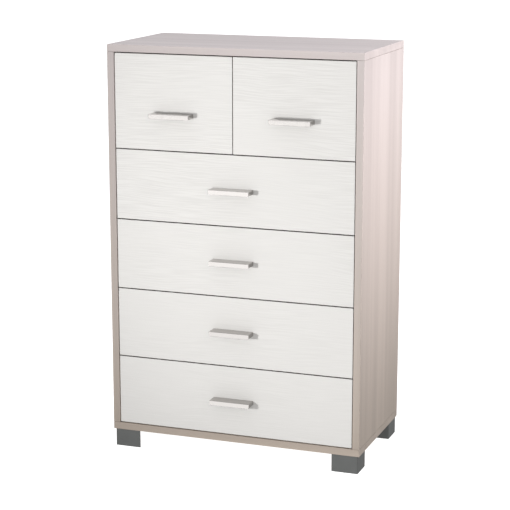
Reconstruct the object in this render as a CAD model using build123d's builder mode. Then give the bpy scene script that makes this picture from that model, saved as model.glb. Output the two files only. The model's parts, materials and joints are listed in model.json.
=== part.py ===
"""Tall chest of drawers: a boxed carcass on four block feet, with two small drawers side by side
over four wide ones. Every drawer slides out towards -Y on grooved wooden runners.

Frame, in millimetres: X runs across the front, -Y is the front, Z is up. The origin is on the
floor, at the middle of the overall box, handles included.
"""
import os
from typing import NamedTuple

from build123d import *

os.makedirs("parts", exist_ok=True)

# ---- driving dimensions -----------------------------------------------------------------------
# Carcass
carcass_width = 800
carcass_depth = 425
carcass_height = 1200
board = 22                      # top, bottom and sides
divider_board = 16
shelf_board = 18
back_board = 3                  # hardboard back
back_setback = 10               # clear depth behind the back
back_groove = 8                 # how deep the back sits in the boards
inner_setback = 1               # from the drawer fronts' backs to the shelf and the divider

# Feet: folded from sheet, with a front, an outer side and a flange on top
foot_height = 55
foot_width = 82
foot_depth = 76
foot_sheet = 3
foot_fold = 4                   # outside radius where the front turns into the side
foot_inset_side = 5
foot_inset_front = 4
foot_inset_rear = 1
foot_screw_spacing = 40

# Drawer fronts
front_thickness = 18
front_recess = 2                # the fronts stand back from the carcass's front edges
side_gap = 2
centre_gap = 2
row_gap = 3
wide_front_height = 213
wide_rows = 4
front_edge = 0.8

# Drawer boxes
box_clearance = 5               # between a box and its compartment, each side
box_board = 15
box_lift = 16                   # from a front's lower edge to its box's lower edge
box_length = 365
wide_box_height = 150
small_box_height = 220
bottom_board = 3
bottom_lift = 10
bottom_groove = 6
bottom_play = 0.5

# Runners
runner_thickness = 10
runner_height = 12
runner_groove = 6               # groove depth in the box sides
runner_play = 0.5               # above and below the runner, and at its stop
runner_stop = 25                # blind length at the front of each groove
runner_tail = 15                # from a runner's end to the back
runner_screw_inset = 30

# Handles
handle_length = 128
handle_reach = 40
handle_height = 14
handle_wall = 3
handle_lower_corner = 3.5
handle_upper_corner = 1.2
handle_edge = 0.8
handle_centres = 96
handle_boss_radius = 5
handle_lift = 106               # handle centre above a front's lower edge

# Fasteners
machine_screw_radius = 2
machine_screw_depth = 16        # length inside the handle's boss
machine_head_radius = 4
machine_head_height = 2.6
wood_screw_radius = 1.75
wood_screw_head = 3.5
wood_screw_length = 16
foot_screw_radius = 2.5
foot_screw_head = 5
foot_screw_head_height = 3
foot_screw_length = 16
dowel_radius = 4
dowel_in_face = 11
dowel_in_end = 21
cam_radius = 7.5
cam_thickness = 12.5
cam_distance = 24               # cam centre from the joint
cam_bolt_radius = 3
cam_bolt_overrun = 1
cam_thread_radius = 2.5
cam_thread_length = 11
cam_bore_radius = 4             # bore in a board's end for the cam bolt
fitting_depth = 9               # fittings' axes from a board's inner face
hole_play = 0.05
end_play = 0.5

# Wall brackets
bracket_width = 30
bracket_leg = 36
bracket_foot = 30
bracket_sheet = 2
bracket_hole_radius = 3
bracket_hole_drop = 22
bracket_screw_spacing = 14

# ---- places worked out from them ----------------------------------------------------------------
overall_depth = carcass_depth - front_recess + handle_reach
rear = overall_depth / 2
front = rear - carcass_depth
face = front + front_recess                     # the drawer fronts' faces
inner_face = face + front_thickness             # the fronts' backs
back_front = rear - back_setback - back_board   # the back's inner surface

half_width = carcass_width / 2
inner_half = half_width - board
floor = foot_height + board                     # top surface of the bottom panel
top = foot_height + carcass_height
ceiling = top - board                           # underside of the top panel

row_pitch = wide_front_height + row_gap
small_front_bottom = floor + row_gap + wide_rows * row_pitch
small_front_height = ceiling - row_gap - small_front_bottom

shelf_middle = small_front_bottom - row_gap / 2
shelf_bottom = shelf_middle - shelf_board / 2
shelf_top = shelf_middle + shelf_board / 2
inner_front = inner_face + inner_setback        # front edges of the shelf and the divider
half_divider = divider_board / 2

runner_front = inner_face + runner_stop + runner_play
runner_rear = back_front - runner_tail
bracket_x = (inner_half + half_divider) / 2


class Drawer(NamedTuple):
    """One drawer: its compartment, its front and its box."""

    name: str
    left: float                 # compartment's inner surfaces
    right: float
    front_left: float
    front_right: float
    bottom: float               # front's lower edge
    front_height: float
    box_height: float

    @property
    def box_bottom(self):
        return self.bottom + box_lift

    @property
    def box_top(self):
        return self.box_bottom + self.box_height

    @property
    def runner_middle(self):
        return self.box_bottom + self.box_height / 2

    @property
    def handle_x(self):
        return (self.front_left + self.front_right) / 2

    @property
    def handle_z(self):
        return self.bottom + handle_lift


def wide_drawer(name, row):
    """A full-width drawer in the given row, counted from the bottom."""
    return Drawer(name, -inner_half, inner_half, side_gap - inner_half, inner_half - side_gap,
                  floor + row_gap + row * row_pitch, wide_front_height, wide_box_height)


wide_names = ["bottom_drawer", "fourth_drawer", "third_drawer", "second_drawer"]
wide_drawers = [wide_drawer(name, row) for row, name in enumerate(wide_names)]
small_drawers = [
    Drawer("top_left_drawer", -inner_half, -half_divider, side_gap - inner_half, -centre_gap / 2,
           small_front_bottom, small_front_height, small_box_height),
    Drawer("top_right_drawer", half_divider, inner_half, centre_gap / 2, inner_half - side_gap,
           small_front_bottom, small_front_height, small_box_height),
]
drawers = wide_drawers + small_drawers

# Joint planes: the origin is on the face of the board that takes the thread, +Z points into the
# end of the other board and +X points out of that board's inner face.
case_cam_y = [front + 75, rear - 75]
case_dowel_y = [front + 35, rear - 35]
shelf_cam_y = [inner_front + 60, back_front - 60]
shelf_dowel_y = [inner_front + 25, back_front - 25]
divider_dowel_y = [inner_front + 40, back_front - 40]


def case_planes(places):
    """Joints between the sides and the top and bottom panels."""
    return [
        Plane(origin=(side * (inner_half + fitting_depth), y, z), x_dir=(-side, 0, 0),
              z_dir=(0, 0, direction))
        for side in (-1, 1) for z, direction in ((floor, 1), (ceiling, -1)) for y in places
    ]


def shelf_planes(places):
    """Joints between the sides and the shelf."""
    return [
        Plane(origin=(side * inner_half, y, shelf_bottom + fitting_depth), x_dir=(0, 0, -1),
              z_dir=(-side, 0, 0))
        for side in (-1, 1) for y in places
    ]


def divider_planes(places):
    """Joints of the divider's ends with the shelf and the top panel."""
    return [
        Plane(origin=(0, y, z), x_dir=(1, 0, 0), z_dir=(0, 0, direction))
        for z, direction in ((shelf_top, 1), (ceiling, -1)) for y in places
    ]


cam_planes = case_planes(case_cam_y) + shelf_planes(shelf_cam_y)
dowel_planes = (case_planes(case_dowel_y) + shelf_planes(shelf_dowel_y)
                + divider_planes(divider_dowel_y))


class Runner(NamedTuple):
    """One runner: the surface it is fixed to, the way it faces, and its height."""

    surface: float
    side: int                   # +1 where the runner stands out towards +X
    middle: float

    @property
    def outer(self):
        return self.surface + self.side * runner_thickness


runners = [
    runner for drawer in drawers
    for runner in (Runner(drawer.left, 1, drawer.runner_middle),
                   Runner(drawer.right, -1, drawer.runner_middle))
]
runner_screw_planes = [
    Plane(origin=(runner.outer, y, runner.middle), z_dir=(-runner.side, 0, 0))
    for runner in runners
    for y in (runner_front + runner_screw_inset, runner_rear - runner_screw_inset)
]
bracket_screw_planes = [
    Plane(origin=(side * bracket_x + offset, back_front - bracket_foot / 2,
                  ceiling - bracket_sheet), z_dir=(0, 0, 1))
    for side in (-1, 1) for offset in (-bracket_screw_spacing / 2, bracket_screw_spacing / 2)
]
wood_screw_planes = runner_screw_planes + bracket_screw_planes

feet = {
    f"{row}_{hand}_foot": (side * (half_width - foot_inset_side - foot_width / 2), y)
    for hand, side in (("left", -1), ("right", 1))
    for row, y in (("front", front + foot_inset_front + foot_depth / 2),
                   ("rear", rear - foot_inset_rear - foot_depth / 2))
}
foot_screw_planes = [
    Plane(origin=(x + offset, y, foot_height - foot_sheet), z_dir=(0, 0, 1))
    for x, y in feet.values() for offset in (-foot_screw_spacing / 2, foot_screw_spacing / 2)
]
upright = (Align.CENTER, Align.CENTER, Align.MIN)


# ---- shared operations --------------------------------------------------------------------------
def save(piece, name):
    """Label a finished piece and write its STEP file."""
    piece.part.label = name
    export_step(piece.part, f"parts/{name}.step")


def middle(low, high):
    return Vector(*((a + b) / 2 for a, b in zip(low, high)))


def add_board(low, high):
    """Start the piece being built as the plain board between two corners."""
    with Locations(middle(low, high)):
        Box(*(b - a for a, b in zip(low, high)))


def cut_slot(low, high):
    """Cut the box between two corners out of the piece being built."""
    with Locations(middle(low, high)):
        Box(*(b - a for a, b in zip(low, high)), mode=Mode.SUBTRACT)


def cut_back_groove(low, high):
    """Cut the back's groove, between two (x, z) corners, out of the board being built."""
    cut_slot((low[0], back_front, low[1]), (high[0], back_front + back_board, high[1]))


def cut_joint_holes():
    """Cut the seats of every dowel and cam fitting out of the board being built."""
    for plane in dowel_planes:
        with Locations(plane.offset(-dowel_in_face - end_play)):
            Cylinder(dowel_radius + hole_play, dowel_in_face + dowel_in_end + 2 * end_play,
                     align=upright, mode=Mode.SUBTRACT)
    for plane in cam_planes:
        with Locations(plane.offset(-cam_thread_length - end_play)):
            Cylinder(cam_thread_radius + hole_play, cam_thread_length + end_play,
                     align=upright, mode=Mode.SUBTRACT)
        with Locations(plane):
            Cylinder(cam_bore_radius, cam_distance, align=upright, mode=Mode.SUBTRACT)
        pocket_middle = fitting_depth - (cam_thickness + end_play) / 2
        with Locations(plane.location * Location((pocket_middle, 0, cam_distance), (0, 90, 0))):
            Cylinder(cam_radius + hole_play, cam_thickness + end_play, mode=Mode.SUBTRACT)


def cut_screw_pilots(planes):
    """Cut the pilot holes of the wood screws out of the board being built."""
    with Locations(*planes):
        Cylinder(wood_screw_radius + hole_play, wood_screw_length + end_play,
                 align=upright, mode=Mode.SUBTRACT)


# ---- carcass ------------------------------------------------------------------------------------
groove_reach = inner_half + back_groove

with BuildPart() as top_panel:
    add_board((-half_width, front, ceiling), (half_width, rear, top))
    cut_back_groove((-groove_reach, ceiling), (groove_reach, ceiling + back_groove))
    cut_joint_holes()
    cut_screw_pilots(bracket_screw_planes)
save(top_panel, "top_panel")

with BuildPart() as bottom_panel:
    add_board((-half_width, front, foot_height), (half_width, rear, floor))
    cut_back_groove((-groove_reach, floor - back_groove), (groove_reach, floor))
    cut_joint_holes()
    with Locations(*foot_screw_planes):
        Cylinder(foot_screw_radius + hole_play, foot_screw_length + end_play,
                 align=upright, mode=Mode.SUBTRACT)
save(bottom_panel, "bottom_panel")

for hand, side in (("left", -1), ("right", 1)):
    outer, inner = sorted((side * half_width, side * inner_half))
    groove = sorted((side * groove_reach, side * inner_half))
    with BuildPart() as side_panel:
        add_board((outer, front, floor), (inner, rear, ceiling))
        cut_back_groove((groove[0], floor), (groove[1], ceiling))
        cut_joint_holes()
        cut_screw_pilots(runner_screw_planes)
    save(side_panel, f"{hand}_side_panel")

with BuildPart() as drawer_shelf:
    add_board((-inner_half, inner_front, shelf_bottom), (inner_half, back_front, shelf_top))
    cut_joint_holes()
save(drawer_shelf, "drawer_shelf")

with BuildPart() as centre_divider:
    add_board((-half_divider, inner_front, shelf_top), (half_divider, back_front, ceiling))
    cut_joint_holes()
    cut_screw_pilots(runner_screw_planes)
save(centre_divider, "centre_divider")

with BuildPart() as back_panel:
    add_board((-groove_reach + end_play, back_front, floor - back_groove + end_play),
              (groove_reach - end_play, back_front + back_board, ceiling + back_groove - end_play))
    with Locations(*(Plane(origin=(side * bracket_x, back_front, ceiling - bracket_hole_drop),
                           z_dir=(0, 1, 0)) for side in (-1, 1))):
        Cylinder(bracket_hole_radius, back_board, align=upright, mode=Mode.SUBTRACT)
save(back_panel, "back_panel")

# ---- runners and fittings -----------------------------------------------------------------------
with BuildPart() as runner_strips:
    for runner in runners:
        low_x, high_x = sorted((runner.surface, runner.outer))
        add_board((low_x, runner_front, runner.middle - runner_height / 2),
                  (high_x, runner_rear, runner.middle + runner_height / 2))
    with Locations(*(plane.rotated((180, 0, 0)) for plane in runner_screw_planes)):
        CounterSinkHole(wood_screw_radius + 2 * hole_play, wood_screw_head + 2 * hole_play,
                        runner_thickness, counter_sink_angle=90)
save(runner_strips, "runner_strips")

with BuildPart(*wood_screw_planes) as wood_screws:
    head_height = wood_screw_head - wood_screw_radius
    Cone(wood_screw_head, wood_screw_radius, head_height, align=upright)
    with Locations((0, 0, head_height)):
        Cylinder(wood_screw_radius, wood_screw_length - head_height, align=upright)
save(wood_screws, "wood_screws")

with BuildPart(*dowel_planes) as carcass_dowels:
    with Locations((0, 0, -dowel_in_face)):
        Cylinder(dowel_radius, dowel_in_face + dowel_in_end, align=upright)
save(carcass_dowels, "carcass_dowels")

with BuildPart(*cam_planes) as cam_bolts:
    with Locations((0, 0, -cam_thread_length)):
        Cylinder(cam_thread_radius, cam_thread_length, align=upright)
    Cylinder(cam_bolt_radius, cam_distance + cam_bolt_overrun, align=upright)
save(cam_bolts, "cam_bolts")

with BuildPart(*cam_planes) as cam_locks:
    with Locations(Location((fitting_depth - cam_thickness / 2, 0, cam_distance), (0, 90, 0))):
        Cylinder(cam_radius, cam_thickness)
    with Locations((0, 0, cam_distance - cam_radius - end_play)):
        Cylinder(cam_bolt_radius + 2 * hole_play, cam_radius + cam_bolt_overrun + 2 * end_play,
                 align=upright, mode=Mode.SUBTRACT)
save(cam_locks, "cam_locks")

# Two steel angles under the top panel, each with a hole for a screw through the back into a wall
with BuildPart() as wall_brackets:
    for side in (-1, 1):
        with BuildSketch(Plane.YZ.offset(side * bracket_x)):
            with BuildLine():
                Polyline(
                    (back_front, ceiling),
                    (back_front - bracket_foot, ceiling),
                    (back_front - bracket_foot, ceiling - bracket_sheet),
                    (back_front - bracket_sheet, ceiling - bracket_sheet),
                    (back_front - bracket_sheet, ceiling - bracket_leg),
                    (back_front, ceiling - bracket_leg),
                    close=True,
                )
            make_face()
        extrude(amount=bracket_width / 2, both=True)
    with Locations(*(plane.rotated((180, 0, 0)) for plane in bracket_screw_planes)):
        CounterSinkHole(wood_screw_radius + 2 * hole_play, wood_screw_head + 2 * hole_play,
                        bracket_sheet, counter_sink_angle=90)
    with Locations(*(Plane(origin=(side * bracket_x, back_front, ceiling - bracket_hole_drop),
                           z_dir=(0, -1, 0)) for side in (-1, 1))):
        Cylinder(bracket_hole_radius, bracket_sheet, align=upright, mode=Mode.SUBTRACT)
save(wall_brackets, "wall_brackets")

# ---- feet ---------------------------------------------------------------------------------------
for name, (x, y) in feet.items():
    side = 1 if x > 0 else -1
    with BuildPart() as foot:
        with Locations((x, y, 0)):
            Box(foot_width, foot_depth, foot_height, align=upright)
        toward_corner = Axis((0, 0, 0), (side, -1, 0))
        fillet(foot.edges().filter_by(Axis.Z).sort_by(toward_corner)[-1], foot_fold)
        with Locations((x - side * foot_sheet, y + foot_sheet, 0)):
            Box(foot_width, foot_depth, foot_height - foot_sheet, align=upright, mode=Mode.SUBTRACT)
        with Locations(*((x + offset, y, 0)
                         for offset in (-foot_screw_spacing / 2, foot_screw_spacing / 2))):
            Cylinder(foot_screw_radius + hole_play, foot_height, align=upright,
                     mode=Mode.SUBTRACT)
    save(foot, name)

with BuildPart(*foot_screw_planes) as foot_screws:
    Cylinder(foot_screw_radius, foot_screw_length, align=upright)
    with Locations((0, 0, -foot_screw_head_height)):
        Cylinder(foot_screw_head, foot_screw_head_height, align=upright)
save(foot_screws, "foot_screws")


# ---- drawers ------------------------------------------------------------------------------------
def screw_places(drawer):
    """The handle screws' axes, as (x, z)."""
    return [(drawer.handle_x + offset, drawer.handle_z)
            for offset in (-handle_centres / 2, handle_centres / 2)]


def make_front(drawer):
    with BuildPart() as drawer_front:
        with BuildSketch(Plane.XZ.offset(-face)):
            with Locations((drawer.handle_x, drawer.bottom + drawer.front_height / 2)):
                Rectangle(drawer.front_right - drawer.front_left, drawer.front_height)
        extrude(amount=-front_thickness)
        fillet(drawer_front.faces().sort_by(Axis.Y)[0].edges(), front_edge)
        cut_slot((drawer.left + box_clearance + bottom_groove, inner_face - bottom_groove,
                  drawer.box_bottom + bottom_lift),
                 (drawer.right - box_clearance - bottom_groove, inner_face,
                  drawer.box_bottom + bottom_lift + bottom_board))
        with Locations(*(Plane(origin=(x, inner_face, z), z_dir=(0, 1, 0))
                         for x, z in screw_places(drawer))):
            Hole(machine_screw_radius + hole_play)
    save(drawer_front, f"{drawer.name}_front")


def make_box_side(drawer, hand, side):
    """A side with the runner's groove outside and the bottom's groove inside."""
    outer = (drawer.left if side < 0 else drawer.right) - side * box_clearance
    inner = outer - side * box_board
    runner_wall = outer - side * runner_groove
    bottom_wall = inner + side * bottom_groove
    groove_bottom = drawer.box_bottom + bottom_lift
    half_groove = runner_height / 2 + runner_play
    with BuildPart() as box_side:
        add_board((min(outer, inner), inner_face, drawer.box_bottom),
                  (max(outer, inner), inner_face + box_length, drawer.box_top))
        cut_slot((min(outer, runner_wall), inner_face + runner_stop,
                  drawer.runner_middle - half_groove),
                 (max(outer, runner_wall), inner_face + box_length,
                  drawer.runner_middle + half_groove))
        cut_slot((min(inner, bottom_wall), inner_face, groove_bottom),
                 (max(inner, bottom_wall), inner_face + box_length,
                  groove_bottom + bottom_board))
    save(box_side, f"{drawer.name}_{hand}_side")


def make_box_back(drawer):
    inset = box_clearance + box_board
    rear_face = inner_face + box_length
    groove_bottom = drawer.box_bottom + bottom_lift
    with BuildPart() as box_back:
        add_board((drawer.left + inset, rear_face - box_board, drawer.box_bottom),
                  (drawer.right - inset, rear_face, drawer.box_top))
        cut_slot((drawer.left + inset, rear_face - box_board, groove_bottom),
                 (drawer.right - inset, rear_face - box_board + bottom_groove,
                  groove_bottom + bottom_board))
    save(box_back, f"{drawer.name}_back")


def make_box_bottom(drawer):
    inset = box_clearance + box_board - bottom_groove + bottom_play
    rear_face = inner_face + box_length
    low = drawer.box_bottom + bottom_lift
    with BuildPart() as box_bottom:
        add_board((drawer.left + inset, inner_face - bottom_groove + bottom_play, low),
                  (drawer.right - inset, rear_face - box_board + bottom_groove - bottom_play,
                   low + bottom_board))
    save(box_bottom, f"{drawer.name}_bottom")


def make_handle(drawer):
    """A pull with a flat top, a lip in front and closed ends, open towards the floor."""
    half = handle_length / 2
    lower = drawer.handle_z - handle_height / 2
    upper = drawer.handle_z + handle_height / 2
    with BuildPart() as handle:
        with BuildSketch(Plane.XZ.offset(-face)) as outline:
            with Locations((drawer.handle_x, drawer.handle_z)):
                Rectangle(handle_length, handle_height)
            fillet(outline.vertices().group_by(Axis.Y)[0], handle_lower_corner)
            fillet(outline.vertices().group_by(Axis.Y)[-1], handle_upper_corner)
        extrude(amount=handle_reach)
        fillet(handle.faces().sort_by(Axis.Y)[0].edges(), handle_edge)
        cut_slot((drawer.handle_x - half + handle_wall, face - handle_reach + handle_wall, lower),
                 (drawer.handle_x + half - handle_wall, face, upper - handle_wall))
        boss_length = handle_reach - handle_wall
        with Locations(*(Plane(origin=(x, face, z), z_dir=(0, -1, 0))
                         for x, z in screw_places(drawer))):
            Cylinder(handle_boss_radius, boss_length, align=upright)
            Cylinder(machine_screw_radius + hole_play, machine_screw_depth + end_play,
                     align=upright, mode=Mode.SUBTRACT)
    save(handle, f"{drawer.name}_handle")


def make_handle_screws(drawer):
    planes = [Plane(origin=(x, inner_face, z), z_dir=(0, -1, 0)) for x, z in screw_places(drawer)]
    with BuildPart(*planes) as handle_screws:
        Cylinder(machine_screw_radius, front_thickness + machine_screw_depth, align=upright)
        with Locations((0, 0, -machine_head_height)):
            Cylinder(machine_head_radius, machine_head_height, align=upright)
    save(handle_screws, f"{drawer.name}_handle_screws")


for drawer in drawers:
    make_front(drawer)
    make_box_side(drawer, "left", -1)
    make_box_side(drawer, "right", 1)
    make_box_back(drawer)
    make_box_bottom(drawer)
    make_handle(drawer)
    make_handle_screws(drawer)
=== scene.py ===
"""Looks of the tall chest of drawers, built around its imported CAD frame. Metres; -Y is the front."""

import json
import math
import random

import bpy
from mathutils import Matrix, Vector


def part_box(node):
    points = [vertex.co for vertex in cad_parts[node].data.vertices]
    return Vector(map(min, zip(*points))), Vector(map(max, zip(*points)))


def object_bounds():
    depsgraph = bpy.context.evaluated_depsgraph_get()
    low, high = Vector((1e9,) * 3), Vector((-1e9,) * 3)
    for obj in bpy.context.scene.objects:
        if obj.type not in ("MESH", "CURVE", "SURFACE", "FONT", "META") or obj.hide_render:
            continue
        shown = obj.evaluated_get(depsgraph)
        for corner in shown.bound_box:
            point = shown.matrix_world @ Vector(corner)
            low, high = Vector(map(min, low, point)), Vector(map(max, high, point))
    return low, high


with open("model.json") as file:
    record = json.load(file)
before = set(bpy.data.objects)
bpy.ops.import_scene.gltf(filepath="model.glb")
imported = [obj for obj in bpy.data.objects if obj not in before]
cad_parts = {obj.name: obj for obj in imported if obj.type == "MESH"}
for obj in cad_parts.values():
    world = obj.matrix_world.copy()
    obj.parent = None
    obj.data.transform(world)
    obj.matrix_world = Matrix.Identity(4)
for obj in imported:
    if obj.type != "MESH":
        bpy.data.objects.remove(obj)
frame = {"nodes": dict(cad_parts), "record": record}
cad_low, cad_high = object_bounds()
random.seed(11)

# ---- camera -------------------------------------------------------------------------------------
CAMERA_PLACE = Vector((1.712, -4.691, 1.710))
CAMERA_AZIMUTH = math.radians(20.05)    # how far round to the right of the front the camera stands
CAMERA_PITCH = math.radians(12.52)      # how far down it looks
CAMERA_LENS = 116.8                     # millimetres, as is the sensor's width
SENSOR_WIDTH = 36

camera_data = bpy.data.cameras.new("camera")
camera_data.lens = CAMERA_LENS
camera_data.sensor_width = SENSOR_WIDTH
camera = bpy.data.objects.new("camera", camera_data)
camera.location = CAMERA_PLACE
camera.rotation_euler = (math.pi / 2 - CAMERA_PITCH, 0, CAMERA_AZIMUTH)
bpy.context.scene.collection.objects.link(camera)
bpy.context.scene.camera = camera


# ---- shader node helper ---------------------------------------------------------------------------
class Graph:
    """Adds and joins the shader nodes of one material."""

    def __init__(self, name):
        self.material = bpy.data.materials.new(name)
        self.material.use_nodes = True
        self.tree = self.material.node_tree
        self.shader = self.tree.nodes["Principled BSDF"]

    def add(self, kind, inputs=(), **settings):
        """A new node, with its inputs fed and its settings made."""
        node = self.tree.nodes.new("ShaderNode" + kind)
        for key, value in settings.items():
            setattr(node, key, value)
        self.feed(node, dict(inputs))
        return node

    def feed(self, node, inputs):
        """Link or set each input, by its name or number."""
        for key, value in inputs.items():
            socket = node.inputs[key]
            if isinstance(value, bpy.types.NodeSocket):
                self.tree.links.new(value, socket)
            else:
                socket.default_value = value

    def math(self, operation, a, b=0.0):
        return self.add("Math", {0: a, 1: b}, operation=operation).outputs[0]

    def mix(self, amount, a, b, blend="MIX"):
        node = self.add("Mix", {0: amount, 6: a, 7: b}, data_type="RGBA", blend_type=blend)
        return node.outputs[2]

    def span(self, value, low, high, to_low=0.0, to_high=1.0):
        """The value, carried from one range to another and held at its ends."""
        node = self.add("MapRange", {0: value, 1: low, 2: high, 3: to_low, 4: to_high})
        return node.outputs[0]

    def noise(self, vector, detail, roughness=0.55, distortion=0.0):
        """Noise with one feature per unit of the vector."""
        node = self.add("TexNoise", {"Vector": vector, "Scale": 1.0, "Detail": detail,
                                     "Roughness": roughness, "Distortion": distortion})
        return node.outputs[0]

    def place(self, scale=(1, 1, 1), offset=(0, 0, 0)):
        """Object coordinates, in metres, scaled and moved."""
        source = self.add("TexCoord").outputs["Object"]
        node = self.add("Mapping", {"Vector": source, "Scale": scale, "Location": offset})
        return node.outputs[0]

    def parts(self, vector):
        """The vector's x, y and z."""
        return self.add("SeparateXYZ", {0: vector}).outputs

    def facing(self):
        """The x, y and z of the direction that the surface faces."""
        return self.parts(self.add("NewGeometry").outputs["Normal"])

    def bump(self, height, distance, strength):
        inputs = {"Height": height, "Distance": distance, "Strength": strength}
        return self.add("Bump", inputs).outputs[0]

    def paint_gap_shade(self, color, reach, dark, within=1.0):
        """The colour, with painted shade where another surface comes closer than the reach."""
        open_share = self.add("AmbientOcclusion", {"Distance": reach}, samples=8).outputs["AO"]
        shade = self.math("MULTIPLY", self.span(open_share, 0.35, 0.95, 1.0, 0.0), within)
        return self.mix(shade, color, dark)

    def finish(self, **inputs):
        """Feed the material's own shader and hand the material over."""
        names = {"color": "Base Color", "roughness": "Roughness", "normal": "Normal",
                 "metallic": "Metallic", "specular": "Specular IOR Level"}
        self.feed(self.shader, {names[key]: value for key, value in inputs.items()})
        return self.material


def rgb(red, green, blue):
    return (red, green, blue, 1.0)


def grey(tone):
    return rgb(tone, tone, tone)


def along(axis, length, across):
    """Scales that stretch a texture along one axis: features per metre, along and across it."""
    scale = [across] * 3
    scale["xyz".index(axis)] = length
    return tuple(scale)


# ---- materials ------------------------------------------------------------------------------------
CASE_LIT_TOP = rgb(0.562, 0.510, 0.502)    # colour at the top of the carcass, paler with painted light
CASE_SHADED_FOOT = rgb(0.508, 0.433, 0.368)    # and at its foot, browner with painted shade
CASE_HEIGHTS = (0.05, 1.25)              # heights of the foot and the top for that painted change of light
HIGHLIGHT_STRIP = 0.011                             # width of the painted highlight beside a board's front corner
HIGHLIGHT_STRIP_TONE = 1.08                         # how much paler that painted highlight is than the face beside it
SEAM_REACH = 0.0013                      # how near another surface must be for painted shade at a seam
GAP_REACH = 0.006                        # and for painted shade in the gaps round a drawer front
CORNER_REACH = 0.004                     # and for painted shade in the corners of metal parts
RIM = 0.010                              # how far in from a front's outline its gaps get painted shade
PAST_OUTLINE = 0.02                      # an outline moved out by this leaves its gap without painted shade
CONTRAST_HEIGHTS = (0.25, 0.80)          # between these the fronts' lines gain their full contrast


def case_foil(name, axis, offset, painted_face_light, painted_band_light):
    """Pale foil with stripes, streaks and pores along one axis; its faces and front edge bands carry
    painted light and shade.
    """
    graph = Graph(name)
    stripes = graph.noise(graph.place(along(axis, 0.5, 20), offset), 2.0, 0.5, 0.1)
    streaks = graph.noise(graph.place(along(axis, 2.5, 130), offset), 3.0, 0.6)
    grain = graph.noise(graph.place(along(axis, 12, 700), offset), 3.0, 0.6)
    pores = graph.span(graph.noise(graph.place(along(axis, 40, 1500), offset), 1.0), 0.60, 0.72)
    broad = graph.span(stripes, 0.34, 0.66, 0.0, 0.63)
    thin = graph.span(streaks, 0.32, 0.68, 0.0, 0.22)
    figure = graph.math("ADD", graph.math("ADD", broad, thin), graph.span(grain, 0.3, 0.7, 0.0, 0.15))
    across, depth, height_above = graph.parts(graph.place())
    # painted light and shade: the carcass paler towards its top, darker towards its foot
    height_share = graph.span(height_above, *CASE_HEIGHTS)
    color = graph.mix(height_share, CASE_SHADED_FOOT, CASE_LIT_TOP)
    shade = graph.mix(figure, rgb(0.87, 0.86, 0.85), rgb(1.08, 1.07, 1.06))
    color = graph.mix(1.0, color, shade, "MULTIPLY")
    color = graph.mix(graph.math("MULTIPLY", pores, 0.18), color, rgb(0.33, 0.27, 0.23))
    facing = graph.facing()
    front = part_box(name)[0][1]
    # painted highlight: a paler strip on sideways faces just behind the front corner
    highlight_strip = graph.math("MULTIPLY", graph.span(depth, front + 0.6 * HIGHLIGHT_STRIP, front + HIGHLIGHT_STRIP, 1.0, 0.0),
                      graph.math("GREATER_THAN", graph.math("ABSOLUTE", facing[0]), 0.5))
    lit_face = graph.mix(highlight_strip, grey(painted_face_light), grey(painted_face_light * HIGHLIGHT_STRIP_TONE))
    band_share = graph.span(across, cad_low[0], cad_high[0]) if axis == "x" else height_share
    lit_band = graph.mix(band_share, *(grey(tone) for tone in painted_band_light))
    # painted light and shade: each board's faces and front edge band take their own lighter or darker tone
    tone = graph.mix(graph.math("LESS_THAN", facing[1], -0.5), lit_face, lit_band)
    color = graph.mix(1.0, color, tone, "MULTIPLY")
    # painted shade in the seams between boards and in narrow gaps
    color = graph.paint_gap_shade(color, SEAM_REACH, rgb(0.20, 0.15, 0.12))
    height = graph.math("SUBTRACT", grain, graph.math("MULTIPLY", pores, 0.6))
    return graph.finish(color=color, roughness=graph.span(grain, 0.3, 0.7, 0.40, 0.50),
                        normal=graph.bump(height, 0.00012, 0.6))


def rim(graph, low, high, width):
    """A mask for painted shade: one along an upright outline, falling to nothing at the width."""
    across, _, height = graph.parts(graph.place())
    nearest = graph.math("SUBTRACT", across, low[0])
    for other in (graph.math("SUBTRACT", high[0], across), graph.math("SUBTRACT", height, low[2]),
                  graph.math("SUBTRACT", high[2], height)):
        nearest = graph.math("MINIMUM", nearest, other)
    return graph.span(nearest, 0.5 * width, width, 1.0, 0.0)


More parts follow.
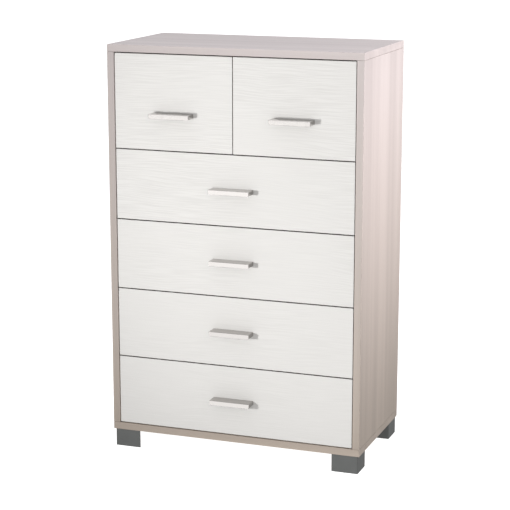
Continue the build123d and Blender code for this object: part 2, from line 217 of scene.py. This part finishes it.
def front_foil(name, offset):
    """Off-white foil, embossed with fine broken lines that sway a little across the front, with painted
    shade in its gaps.
    """
    graph = Graph(name)
    drift = graph.noise(graph.place((1.6, 1.6, 4.0), offset), 1.5)
    ripple = graph.noise(graph.place((7.0, 7.0, 14.0), offset), 1.0)
    lift = graph.math("ADD", graph.math("MULTIPLY", drift, 0.060),
                      graph.math("MULTIPLY", ripple, 0.012))
    across, _, height = graph.parts(graph.place(offset=offset))
    level = graph.math("ADD", height, lift)
    flow = graph.add("CombineXYZ", {0: graph.math("MULTIPLY", across, 8.0),
                                    2: graph.math("MULTIPLY", level, 390.0)}).outputs[0]
    lines = graph.span(graph.noise(flow, 1.5, 0.5), 0.42, 0.57)
    hair = graph.noise(graph.place((60, 60, 1400), offset), 2.0)
    groove = graph.math("ADD", graph.math("MULTIPLY", lines, 0.75), graph.span(hair, 0.3, 0.7, 0.0, 0.25))
    fade = graph.span(graph.noise(graph.place((3, 3, 5), offset), 1.0), 0.35, 0.60, 0.35, 1.0)
    color = graph.mix(groove, rgb(0.758, 0.743, 0.717), rgb(0.836, 0.822, 0.796))
    contrast = graph.span(graph.parts(graph.place())[2], *CONTRAST_HEIGHTS, 0.45, 1.0)
    color = graph.mix(graph.math("MULTIPLY", fade, contrast), rgb(0.812, 0.797, 0.771), color)
    low, high = (list(corner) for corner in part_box(name))
    if not name.startswith("top_right"):    # the gaps along the left side panel are light
        low[0] -= PAST_OUTLINE
    if name.startswith("bottom"):           # and so is the one over the bottom panel
        low[2] -= PAST_OUTLINE
    # painted shade in the gaps round the front, near its outline
    color = graph.paint_gap_shade(color, GAP_REACH, rgb(0.12, 0.09, 0.07), rim(graph, low, high, RIM))
    return graph.finish(color=color, roughness=graph.span(lines, 0.0, 1.0, 0.56, 0.48), specular=0.25,
                        normal=graph.bump(groove, 0.00012, 0.6))


def plain_board(name, axis, light, dark):
    """Matt foil with a faint grain, for parts inside the carcass."""
    graph = Graph(name)
    grain = graph.noise(graph.place(along(axis, 6, 300)), 4.0, 0.6)
    cloud = graph.noise(graph.place((5, 5, 5)), 2.0)
    tone = graph.math("ADD", graph.span(grain, 0.3, 0.7, 0.0, 0.7),
                      graph.span(cloud, 0.3, 0.7, 0.0, 0.3))
    return graph.finish(color=graph.mix(tone, dark, light),
                        roughness=graph.span(grain, 0.3, 0.7, 0.45, 0.58),
                        normal=graph.bump(grain, 0.0001, 0.5))


def hardboard(name):
    """Pale on the face that looks into the carcass or drawer, raw brown fibre on the other."""
    graph = Graph(name)
    fibre = graph.noise(graph.place((900, 900, 900)), 4.0, 0.7)
    cloud = graph.noise(graph.place((14, 14, 14)), 3.0)
    facing = graph.facing()
    rear = graph.math("GREATER_THAN", facing[1], 0.5)
    under = graph.math("LESS_THAN", facing[2], -0.5)
    raw = graph.math("MAXIMUM", rear, under)
    pale = graph.mix(cloud, rgb(0.66, 0.63, 0.58), rgb(0.74, 0.71, 0.67))
    brown = graph.mix(fibre, rgb(0.20, 0.12, 0.065), rgb(0.36, 0.235, 0.135))
    patches = graph.span(graph.noise(graph.place((6, 6, 6)), 4.0, 0.6), 0.3, 0.7)
    stain = graph.mix(patches, rgb(0.80, 0.78, 0.76), rgb(1.12, 1.11, 1.10))
    brown = graph.mix(1.0, brown, stain, "MULTIPLY")
    return graph.finish(color=graph.mix(raw, pale, brown),
                        roughness=graph.span(raw, 0.0, 1.0, 0.45, 0.8),
                        normal=graph.bump(fibre, 0.0001, 0.6))


def hardwood(name, axis, light, dark):
    """Plain wood with rings and pores along one axis."""
    graph = Graph(name)
    rings = graph.noise(graph.place(along(axis, 3, 180)), 4.0, 0.6, 0.4)
    pores = graph.noise(graph.place(along(axis, 60, 1600)), 2.0)
    tone = graph.math("ADD", graph.span(rings, 0.3, 0.7, 0.0, 0.7),
                      graph.span(pores, 0.3, 0.7, 0.0, 0.3))
    return graph.finish(color=graph.mix(tone, dark, light), roughness=graph.span(pores, 0, 1, 0.5, 0.7),
                        normal=graph.bump(pores, 0.0001, 0.6))


def metal(name, color, glossy, dull, brushed=None):
    """Metal smeared between two roughnesses, with painted shade in corners, brushed if an axis is named.
    """
    graph = Graph(name)
    smear = graph.noise(graph.place((60, 60, 60)), 3.0)
    if brushed:
        fine = graph.noise(graph.place(along(brushed, 40, 5000)), 2.0)
    else:
        fine = graph.noise(graph.place((2500, 2500, 2500)), 2.0)
    darker = tuple(channel * 0.86 for channel in color[:3]) + (1.0,)
    # painted shade where another surface comes near, as along a pull's rear edge
    color = graph.paint_gap_shade(graph.mix(fine, darker, color), CORNER_REACH, rgb(0.22, 0.20, 0.19))
    return graph.finish(color=color, metallic=1.0,
                        roughness=graph.span(smear, 0.3, 0.7, glossy, dull),
                        normal=graph.bump(fine, 0.00002, 0.4))


def satin_paint(name):
    """Grey paint with a fine orange peel."""
    graph = Graph(name)
    peel = graph.noise(graph.place((450, 450, 450)), 2.0)
    cloud = graph.noise(graph.place((25, 25, 25)), 3.0)
    color = graph.mix(cloud, rgb(0.138, 0.143, 0.140), rgb(0.174, 0.179, 0.174))
    return graph.finish(color=color, roughness=graph.span(cloud, 0.3, 0.7, 0.50, 0.60), specular=0.25,
                        normal=graph.bump(peel, 0.00006, 0.5))


def shift():
    """A different stretch of pattern for each board."""
    return tuple(random.uniform(-40, 40) for _ in range(3))


GRAIN_AXIS = {"top_panel": "x", "bottom_panel": "x", "left_side_panel": "z",
              "right_side_panel": "z", "drawer_shelf": "x"}
# Painted light and shade of a board's faces, then of its front edge: foot to top on a side, left to right
# on the others.
BOARD_PAINTED_LIGHT = {"left_side_panel": (0.95, (0.86, 0.99)), "right_side_panel": (1.0, (0.93, 1.24)),
               "top_panel": (1.0, (1.02, 1.20)), "bottom_panel": (0.99, (0.94, 1.0)),
               "drawer_shelf": (1.0, (1.0, 1.0))}
BOX_LIGHT, BOX_DARK = rgb(0.76, 0.75, 0.72), rgb(0.70, 0.685, 0.65)
shared = {
    "divider_board": plain_board("divider_board", "z", rgb(0.33, 0.24, 0.17), rgb(0.25, 0.17, 0.12)),
    "hardboard": hardboard("hardboard"),
    "runner_wood": hardwood("runner_wood", "y", rgb(0.60, 0.42, 0.25), rgb(0.42, 0.26, 0.14)),
    "dowel_wood": hardwood("dowel_wood", "z", rgb(0.66, 0.48, 0.30), rgb(0.50, 0.33, 0.19)),
    "foot_paint": satin_paint("foot_paint"),
    "handle_chrome": metal("handle_chrome", rgb(0.49, 0.47, 0.455), 0.07, 0.13, "x"),
    "zinc_steel": metal("zinc_steel", rgb(0.62, 0.61, 0.58), 0.28, 0.42),
    "cam_zinc": metal("cam_zinc", rgb(0.50, 0.50, 0.49), 0.38, 0.52),
    "bracket_steel": metal("bracket_steel", rgb(0.60, 0.60, 0.58), 0.35, 0.5),
}
slots = {entry["node"]: entry["material_slot"] for entry in frame["record"]["subparts"]}


def finish_for(node):
    """The node's material: its own for a carcass, front or box board, or else its slot's shared one."""
    slot = slots[node]
    if slot == "case_board":
        return case_foil(node, GRAIN_AXIS[node], shift(), *BOARD_PAINTED_LIGHT[node])
    if slot == "front_board":
        return front_foil(node, shift())
    if slot == "drawer_box_board":
        axis = "x" if node.endswith("back") else "y"
        return plain_board(node, axis, BOX_LIGHT, BOX_DARK)
    return shared[slot]


# ---- CAD nodes: finish and softened edges -----------------------------------------------------------
EDGE = 0.0012            # rounding of the boards' outer edges
EDGE_STEPS = 3           # flats that the rounding is made of
ON_BOX = 0.0001          # a point this near a side of its board's box lies on it
SAME_POINT = 0.00001     # corners this near each other are one


def outer_edge_marker():
    """Geometry nodes that mark the edges of a board's outer box: those that lie on two of its sides."""
    group = bpy.data.node_groups.new("outer_edges", "GeometryNodeTree")
    for way in ("INPUT", "OUTPUT"):
        group.interface.new_socket("Geometry", in_out=way, socket_type="NodeSocketGeometry")

    def add(kind, *inputs, **settings):
        node = group.nodes.new(kind)
        for key, value in settings.items():
            setattr(node, key, value)
        for socket, value in zip(node.inputs, inputs):
            if isinstance(value, bpy.types.NodeSocket):
                group.links.new(value, socket)
            else:
                socket.default_value = value
        return node

    mesh = add("NodeGroupInput").outputs[0]
    box = add("GeometryNodeBoundBox", mesh).outputs
    place = add("GeometryNodeInputPosition").outputs[0]
    above = add("ShaderNodeVectorMath", place, box["Min"], operation="SUBTRACT").outputs[0]
    below = add("ShaderNodeVectorMath", box["Max"], place, operation="SUBTRACT").outputs[0]
    nearer = add("ShaderNodeVectorMath", above, below, operation="MINIMUM").outputs[0]
    faces = [add("ShaderNodeMath", side, ON_BOX, operation="LESS_THAN").outputs[0]
             for side in add("ShaderNodeSeparateXYZ", nearer).outputs]
    count = add("ShaderNodeMath", faces[0], faces[1], operation="ADD").outputs[0]
    count = add("ShaderNodeMath", count, faces[2], operation="ADD").outputs[0]
    weight = add("ShaderNodeMath", count, 1.5, operation="GREATER_THAN").outputs[0]
    store = add("GeometryNodeStoreNamedAttribute", mesh, data_type="FLOAT", domain="EDGE")
    store.inputs["Name"].default_value = "bevel_weight_edge"
    group.links.new(weight, store.inputs["Value"])
    add("NodeGroupOutput", store.outputs[0])
    return group


def soften(node, marker):
    """Join the CAD mesh's split corners and round the board's outer edges."""
    weld = node.modifiers.new("weld", "WELD")
    weld.merge_threshold = SAME_POINT
    node.modifiers.new("outer_edges", "NODES").node_group = marker
    bevel = node.modifiers.new("edges", "BEVEL")
    bevel.width = EDGE
    bevel.segments = EDGE_STEPS
    bevel.limit_method = "WEIGHT"
    bevel.use_clamp_overlap = False
    bevel.harden_normals = True


marker = outer_edge_marker()
for name in sorted(frame["nodes"]):
    node = frame["nodes"][name]
    node.data.materials.clear()
    node.data.materials.append(finish_for(name))
    if slots[name] == "case_board":
        soften(node, marker)

# ---- floor and light ----------------------------------------------------------------------------------
WORLD_LIGHT = 0.50       # the surround's strength as a light; to the camera it is 1
FLOOR_GLOW = 0.85
FLOOR_REACH = 40         # from the middle to each side


def hang_light(name, data, place, target, power, color):
    """Put a lamp in its place, turned to its target. Power is in watts."""
    data.energy = power
    data.color = color
    lamp = bpy.data.objects.new(name, data)
    lamp.location = place
    direction = Vector(target) - Vector(place)
    lamp.rotation_euler = direction.to_track_quat("-Z", "Y").to_euler()
    bpy.context.scene.collection.objects.link(lamp)


def area_light(name, place, target, size, power, color=(1, 1, 1)):
    """A flat lamp."""
    data = bpy.data.lights.new(name, "AREA")
    data.shape = "RECTANGLE"
    data.size, data.size_y = size
    hang_light(name, data, place, target, power, color)


def spot_light(name, place, target, radius, cone, power, color=(1, 1, 1)):
    """A round lamp whose light fades smoothly to nothing at the edge of its cone."""
    data = bpy.data.lights.new(name, "SPOT")
    data.shadow_soft_size = radius
    data.spot_size = math.radians(cone)
    data.spot_blend = 1.0
    hang_light(name, data, place, target, power, color)


def mirror_card(name, place, target, size, glow):
    """A card of even glow, 1 being white, that is only seen mirrored in shiny surfaces."""
    power = math.pi * size[0] * size[1] * glow
    area_light(name, place, target, size, power)
    bpy.data.objects[name].visible_diffuse = False


def make_floor():
    """A white floor that only the camera sees, and only from above: it lights and shades nothing."""
    reach = FLOOR_REACH
    mesh = bpy.data.meshes.new("floor")
    corners = [(-reach, -reach, 0), (reach, -reach, 0), (reach, reach, 0), (-reach, reach, 0)]
    mesh.from_pydata(corners, [], [(0, 1, 2, 3)])
    floor = bpy.data.objects.new("floor", mesh)
    floor.visible_diffuse = floor.visible_glossy = floor.visible_shadow = False
    bpy.context.scene.collection.objects.link(floor)
    graph = Graph("floor")
    cloud = graph.noise(graph.place((0.6, 0.6, 0.6)), 2.0)
    color = graph.mix(cloud, grey(0.93), grey(0.95))
    above = graph.math("SUBTRACT", 1.0, graph.add("NewGeometry").outputs["Backfacing"])
    graph.feed(graph.shader, {"Emission Color": grey(1), "Emission Strength": FLOOR_GLOW, "Alpha": above})
    mesh.materials.append(graph.finish(color=color, roughness=0.9, specular=0.0))


def make_world():
    """A white surround, dimmer as a light than as a backdrop."""
    world = bpy.data.worlds.new("studio")
    bpy.context.scene.world = world
    world.use_nodes = True
    tree = world.node_tree
    path = tree.nodes.new("ShaderNodeLightPath")
    strength = tree.nodes.new("ShaderNodeMapRange")
    strength.inputs["To Min"].default_value = WORLD_LIGHT
    strength.inputs["To Max"].default_value = 1.0
    tree.links.new(path.outputs["Is Camera Ray"], strength.inputs["Value"])
    tree.links.new(strength.outputs[0], tree.nodes["Background"].inputs["Strength"])
    tree.nodes["Background"].inputs["Color"].default_value = grey(1)


make_floor()
make_world()
bpy.context.scene.view_settings.view_transform = "Standard"

spot_light("key", (-0.92, -2.6, 0.83), (0.68, -0.2, 0.90), radius=0.08, cone=76, power=148)
bpy.data.objects["key"].visible_glossy = False    # the pulls mirror the cards, not this lamp
area_light("front_right", (2.2, -3.6, 1.6), (0.2, -0.2, 1.1), (2.4, 2.4), power=12,
           color=(1.0, 0.97, 0.98))
spot_light("side", (2.0, 0.15, 1.6), (0.4, 0.05, 0.96), radius=0.25, cone=54, power=142,
           color=(1.0, 0.95, 0.965))
area_light("top", (0.0, 0.3, 3.6), (0, 0, 1.2), (2.0, 2.0), power=34, color=(0.96, 0.99, 1.08))
mirror_card("near_card", (-0.8, -1.3, 0.01), (-0.8, -1.3, 1.0), (3.6, 1.8), glow=1.30)
mirror_card("far_card", (-1.2, -4.2, 0.01), (-1.2, -4.2, 1.0), (4.0, 4.0), glow=1.50)
mirror_card("front_card", (-1.4, -3.9, 0.72), (0.0, -0.2, 1.05), (1.7, 1.0), glow=1.28)
